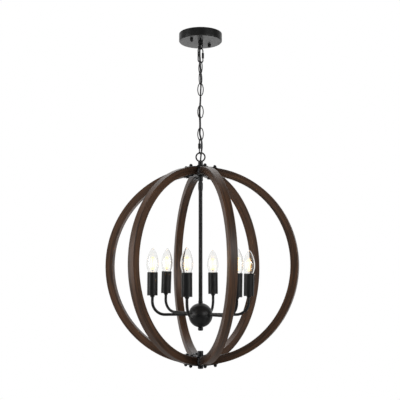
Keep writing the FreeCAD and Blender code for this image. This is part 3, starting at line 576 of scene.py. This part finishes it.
class MESH_OT_chandelier_bulbs(bpy.types.Operator):
    """Make the six candle bulbs: screw base, glass stem, lit filaments and glass"""
    bl_idname = "mesh.chandelier_bulbs"
    bl_label = "Make bulbs"

    def execute(self, context):
        settings = context.scene.chandelier.bulb
        glass = clear_glass("blown_clear_glass")
        brass = plain_metal("nickel_plated_brass", *NICKEL)
        stem_glass = clear_glass("drawn_stem_glass")
        phosphor = lit_phosphor("lit_phosphor", settings)
        slides = [joint for joint in frame["joints"] if joint["type"] == "slide"]
        if not slides:
            raise RuntimeError("the frame has no slides to seat the bulbs on")
        for k, joint in enumerate(slides):
            self.bulb(k + 1, joint, settings, glass, brass, stem_glass, phosphor)
        return {"FINISHED"}

    def bulb(self, number, joint, settings, glass, brass, stem_glass, phosphor):
        """One bulb, seated on its CAD glass along the axis that it unscrews on."""
        cad_glass, cad_base = "bulb_glass_%d" % number, "bulb_base_%d" % number
        axis = Vector(joint["axis"])
        seat, length = seat_on(cad_glass, axis)
        foot = reach(cad_base, axis)[0] - reach(cad_glass, axis)[0]
        turns = settings.segments

        outer = bulb_outline(length)
        wall, inner_tip = GLASS_WALL * MM, GLASS_INNER_TIP_R * MM
        inner = [(max(r - wall, inner_tip), min(z, length - wall)) for r, z in reversed(outer)]
        envelope = lathe("bulb_envelope_%d" % number, outer + inner, seat, turns, glass)
        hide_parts(cad_glass)
        envelope.visible_shadow = False

        start, skirt = foot + SCREW_FOOT * MM, SKIRT[0][1] * MM
        screw_top = skirt - SKIRT_GAP * MM
        screw = [(SCREW_R * MM, start + (screw_top - start) * k / SCREW_STEPS)
                 for k in range(SCREW_STEPS + 1)]

        def thread(angle, height):
            """How far the rolled thread stands out."""
            if height < start or height > skirt - THREAD_GAP * MM:
                return 0.0
            turn = 2 * math.pi * (height - start) / (THREAD_PITCH * MM)
            return THREAD_DEPTH * MM * math.cos(turn - angle)

        base = lathe("bulb_screw_%d" % number, metres(BUTTON, foot) + screw + metres(SKIRT),
                     seat, turns, brass, thread)
        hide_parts(cad_base)

        stem = lathe("bulb_stem_%d" % number, metres(STEM), seat, turns // 2, stem_glass)
        stem.visible_shadow = False

        sticks = []
        for k in range(FILAMENT_COUNT):
            angle = 2 * math.pi / FILAMENT_COUNT * k + FILAMENT_TURN
            spot = Vector((FILAMENT_RING_R * math.cos(angle), FILAMENT_RING_R * math.sin(angle),
                           FILAMENT_FOOT)) * MM
            stick = lathe("bulb_filament_%d_%d" % (number, k + 1), metres(FILAMENT),
                          seat @ Matrix.Translation(spot), FILAMENT_SIDES, phosphor)
            sticks.append(stick)
        wire = lathe("bulb_lead_%d" % number, metres(LEAD), seat, LEAD_SIDES, brass)

        for piece in [envelope, base, stem, wire] + sticks:
            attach(piece, joint["child"])

        lamp = bpy.data.lights.new("bulb_light_%d" % number, "POINT")
        lamp.energy = settings.light
        lamp.color = settings.ends[:3]
        lamp.shadow_soft_size = GLOW_R * MM
        holder = bpy.data.objects.new(lamp.name, lamp)
        holder.location = seat @ Vector((0, 0, GLOW_HEIGHT * MM))
        holder.visible_camera = holder.visible_transmission = False
        bpy.context.scene.collection.objects.link(holder)


class CURVE_OT_chandelier_cord(bpy.types.Operator):
    """Make the lamp cord as one smooth line, cut into one span for each hinge of the chain"""
    bl_idname = "curve.chandelier_cord"
    bl_label = "Make cord"

    def execute(self, context):
        settings = context.scene.chandelier.cord
        rings = self.rings(self.line(), settings)
        joints = [joint for joint in frame["joints"] if joint["type"] == "hinge"]
        if not joints:
            raise RuntimeError("the frame has no hinges for the cord to bend at")
        levels = [joint["pos_m"][2] for joint in joints]
        cuts = [0.0] + [(a + b) / 2 for a, b in zip(levels, levels[1:])] + [-1.0]
        jacket = moulded("black_cord_jacket", *JACKET)
        near = 1e-6                     # so that a ring that lies in a cut belongs to both spans
        for k, joint in enumerate(joints):
            low, high = cuts[k + 1] - near, cuts[k] + near
            span = [ring for ring in rings if low <= ring[0].z <= high]
            span += [ring for ring in rings if ring[0].z < low][:1]
            verts = [point for ring in span for point in ring[1]]
            piece = new_object("cord_span_%d" % (k + 1), verts,
                               ring_faces(len(span), settings.sides), jacket)
            if k == 0:
                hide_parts("lamp_cord")
            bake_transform(piece)
        return {"FINISHED"}

    def line(self):
        """Points of the smooth line along the route."""
        curve = bpy.data.curves.new("cord_line", "CURVE")
        curve.dimensions = "3D"
        spline = curve.splines.new("NURBS")
        spline.points.add(len(CORD_ROUTE) - 1)
        for point, place in zip(spline.points, CORD_ROUTE):
            point.co = (*place, 1.0)
        spline.order_u = 3
        spline.use_endpoint_u = True
        spline.resolution_u = CORD_SMOOTHNESS
        holder = bpy.data.objects.new("cord_line", curve)
        mesh = bpy.data.meshes.new_from_object(holder)
        points = [v.co.copy() for v in mesh.vertices]
        bpy.data.objects.remove(holder)
        bpy.data.curves.remove(curve)
        bpy.data.meshes.remove(mesh)
        return points

    def rings(self, path, settings):
        """Centre and rim of the tube at each point of the path."""
        made = []
        for k, centre in enumerate(path):
            ahead = (path[min(k + 1, len(path) - 1)] - path[max(k - 1, 0)]).normalized()
            turn, share = self.lay(centre.z)
            side = Vector((math.cos(turn), math.sin(turn), 0))
            side = (side - ahead * side.dot(ahead)).normalized()
            other = ahead.cross(side)
            rim = []
            for n in range(settings.sides):
                angle = 2 * math.pi * n / settings.sides
                wide, thick = self.outline(angle, settings.width * share / 2, settings)
                rim.append(centre + side * wide + other * thick)
            made.append((centre, rim))
        return made

    def lay(self, level):
        """Turn of the cord's wide side at a level, in radians, and its share of the full width."""
        for upper, lower in zip(CORD_LAY, CORD_LAY[1:]):
            if lower[0] <= level <= upper[0]:
                way = (upper[0] - level) / (upper[0] - lower[0])
                ease = way * way * (3 - 2 * way)
                return (math.radians(upper[1] + (lower[1] - upper[1]) * ease),
                        upper[2] + (lower[2] - upper[2]) * ease)
        raise RuntimeError("the cord's route leaves its lay at %.4f m" % level)

    def outline(self, angle, half, settings):
        """Point on the rim of two round cores side by side, with a groove between them."""
        wide = math.cos(angle) * half
        core = settings.thickness / 2
        off_core = max(abs(wide) - (half - core), 0.0) / core
        thick = core * math.sqrt(max(1 - off_core * off_core, 0.0))
        groove = 1 - settings.waist * math.exp(-(CORD_GROOVE * wide / core) ** 2)
        return wide, math.copysign(thick * groove, math.sin(angle))


class SCENE_OT_chandelier_studio(bpy.types.Operator):
    """Set up the camera, the pale floor, the white surroundings and the lights"""
    bl_idname = "scene.chandelier_studio"
    bl_label = "Set up studio"

    def execute(self, context):
        settings = context.scene.chandelier.studio
        scene = context.scene
        camera = bpy.data.cameras.new("camera")
        camera.lens = settings.lens
        camera.sensor_width = SENSOR_WIDTH
        camera.clip_start, camera.clip_end = 0.01, 100.0
        holder = bpy.data.objects.new("camera", camera)
        holder.location = (CAMERA_X, -settings.distance, settings.height)
        holder.rotation_euler = (math.pi / 2 + settings.tilt, 0, 0)
        scene.collection.objects.link(holder)
        scene.camera = holder
        scene.view_settings.view_transform = "Standard"
        self.surroundings(scene, settings)
        self.floor(settings)
        for name, place, width, height, power in SOFTBOXES:
            self.softbox(name, place, width, height, power)
        return {"FINISHED"}

    def surroundings(self, scene, settings):
        """White to the eye and through glass.

        Reflections show the white backdrop, and the dim room in front of it.
        """
        world = bpy.data.worlds.new("white_studio")
        world.use_nodes = True
        tree = world.node_tree
        tree.nodes.clear()
        path = add(tree, "ShaderNodeLightPath")
        toward = add(tree, "ShaderNodeTexCoord").outputs["Generated"]
        axes = add(tree, "ShaderNodeSeparateXYZ", {0: toward})
        rises = []
        for axis, span, dark, bright in (("Y", BACKDROP_RISE, settings.room, 1.0),
                                         ("Z", SWEEP_RISE, 0.0, settings.sweep),
                                         ("Z", CROWN_RISE, 0.0, settings.crown)):
            rises.append(add(tree, "ShaderNodeMapRange", {
                "Value": axes.outputs[axis], "From Min": span[0], "From Max": span[1],
                "To Min": dark, "To Max": bright}, interpolation_type="SMOOTHSTEP").outputs[0])
        behind, low, high = rises
        panels = add(tree, "ShaderNodeMath", {0: low, 1: high}, operation="ADD")
        reflected = add(tree, "ShaderNodeMath", {
            0: panels.outputs[0], 1: behind, 2: behind}, operation="MULTIPLY_ADD")
        light = add(tree, "ShaderNodeMix", {
            "Factor": path.outputs["Is Glossy Ray"], "A": settings.fill, "B": reflected.outputs[0]},
            data_type="FLOAT")
        seen = add(tree, "ShaderNodeMath", {
            0: path.outputs["Is Camera Ray"], 1: path.outputs["Is Transmission Ray"]},
            operation="MAXIMUM")
        strength = add(tree, "ShaderNodeMix", {
            "Factor": seen.outputs[0], "A": light.outputs[0], "B": 1.0}, data_type="FLOAT")
        white = add(tree, "ShaderNodeBackground", {
            "Color": (1, 1, 1, 1), "Strength": strength.outputs[0]})
        add(tree, "ShaderNodeOutputWorld", {"Surface": white.outputs[0]})
        scene.world = world

    def floor(self, settings):
        """Plain pale floor that keeps the lamp's shadow and fades to white round it."""
        material, tree = blank("pale_studio_floor")
        place = add(tree, "ShaderNodeTexCoord").outputs["Object"]
        cloud = add(tree, "ShaderNodeTexNoise", {
            "Vector": place, "Scale": 1 / (FLOOR_CLOUD * MM), "Detail": 3.0})
        colour = add(tree, "ShaderNodeMix", {
            "Factor": cloud.outputs["Fac"], "A": linear(FLOOR_COLOURS[0]),
            "B": linear(FLOOR_COLOURS[1])}, data_type="RGBA")
        pale = add(tree, "ShaderNodeBsdfPrincipled", {
            "Base Color": colour.outputs[2], "Roughness": 0.8})
        white = add(tree, "ShaderNodeEmission", {"Color": (1, 1, 1, 1), "Strength": 1.0})
        flat_place = add(tree, "ShaderNodeVectorMath", {
            0: place, 1: (1, 1, 0)}, operation="MULTIPLY")
        away = add(tree, "ShaderNodeVectorMath", {0: flat_place.outputs[0]}, operation="LENGTH")
        fade = add(tree, "ShaderNodeMapRange", {
            "Value": away.outputs["Value"], "From Min": FLOOR_FADE[0], "From Max": FLOOR_FADE[1],
            "To Min": settings.floor_white, "To Max": 1.0}, interpolation_type="SMOOTHSTEP")
        path = add(tree, "ShaderNodeLightPath")
        seen = add(tree, "ShaderNodeMath", {
            0: path.outputs["Is Camera Ray"], 1: path.outputs["Is Transmission Ray"]},
            operation="MAXIMUM")
        shown = add(tree, "ShaderNodeMath", {
            0: seen.outputs[0], 1: fade.outputs[0]}, operation="MULTIPLY")
        mirrored = add(tree, "ShaderNodeMath", {
            0: path.outputs["Is Glossy Ray"], 1: settings.room}, operation="MULTIPLY")
        share = add(tree, "ShaderNodeMath", {
            0: shown.outputs[0], 1: mirrored.outputs[0]}, operation="MAXIMUM")
        mixed = add(tree, "ShaderNodeMixShader", {
            0: share.outputs[0], 1: pale.outputs[0], 2: white.outputs[0]})
        add(tree, "ShaderNodeOutputMaterial", {"Surface": mixed.outputs[0]})
        half, level = FLOOR_HALF, -settings.floor_drop
        corners = [(x * half, y * half, level) for x, y in ((-1, -1), (1, -1), (1, 1), (-1, 1))]
        floor = new_object("studio_floor", corners, [(0, 1, 2, 3)], material)

    def softbox(self, name, place, width, height, power):
        """Soft rectangular light that faces the orb."""
        light = bpy.data.lights.new(name, "AREA")
        light.shape = "RECTANGLE"
        light.size, light.size_y = width, height
        light.energy = power
        holder = bpy.data.objects.new(name, light)
        holder.location = place
        aim = Vector(SOFTBOX_TARGET) - Vector(place)
        holder.rotation_euler = aim.to_track_quat("-Z", "Y").to_euler()
        bpy.context.scene.collection.objects.link(holder)


class VIEW3D_PT_chandelier(bpy.types.Panel):
    """Buttons for the chandelier's pieces"""
    bl_idname = "VIEW3D_PT_chandelier"
    bl_label = "Orb chandelier"
    bl_space_type = "VIEW_3D"
    bl_region_type = "UI"
    bl_category = "Chandelier"

    def draw(self, context):
        """One button for each operator."""
        for operator in OPERATORS:
            self.layout.operator(operator.bl_idname)


OPERATORS = (
    MESH_OT_chandelier_wood, MESH_OT_chandelier_metal, MESH_OT_chandelier_bulbs,
    CURVE_OT_chandelier_cord, SCENE_OT_chandelier_studio,
)
CLASSES = (
    WalnutSettings, MetalSettings, BulbSettings, CordSettings, StudioSettings, ChandelierSettings,
) + OPERATORS + (VIEW3D_PT_chandelier,)


def register():
    """Registers the classes and the settings."""
    for kind in CLASSES:
        bpy.utils.register_class(kind)
    bpy.types.Scene.chandelier = bpy.props.PointerProperty(
        name="Chandelier", description="Settings of the orb chandelier", type=ChandelierSettings)


def unregister():
    """Takes the settings and the classes out again."""
    del bpy.types.Scene.chandelier
    for kind in reversed(CLASSES):
        bpy.utils.unregister_class(kind)


def main():
    """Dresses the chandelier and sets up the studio."""
    register()
    bpy.ops.mesh.chandelier_wood()
    bpy.ops.mesh.chandelier_metal()
    bpy.ops.mesh.chandelier_bulbs()
    bpy.ops.curve.chandelier_cord()
    bpy.ops.scene.chandelier_studio()
    bpy.context.view_layer.update()


if __name__ == "__main__":
    main()
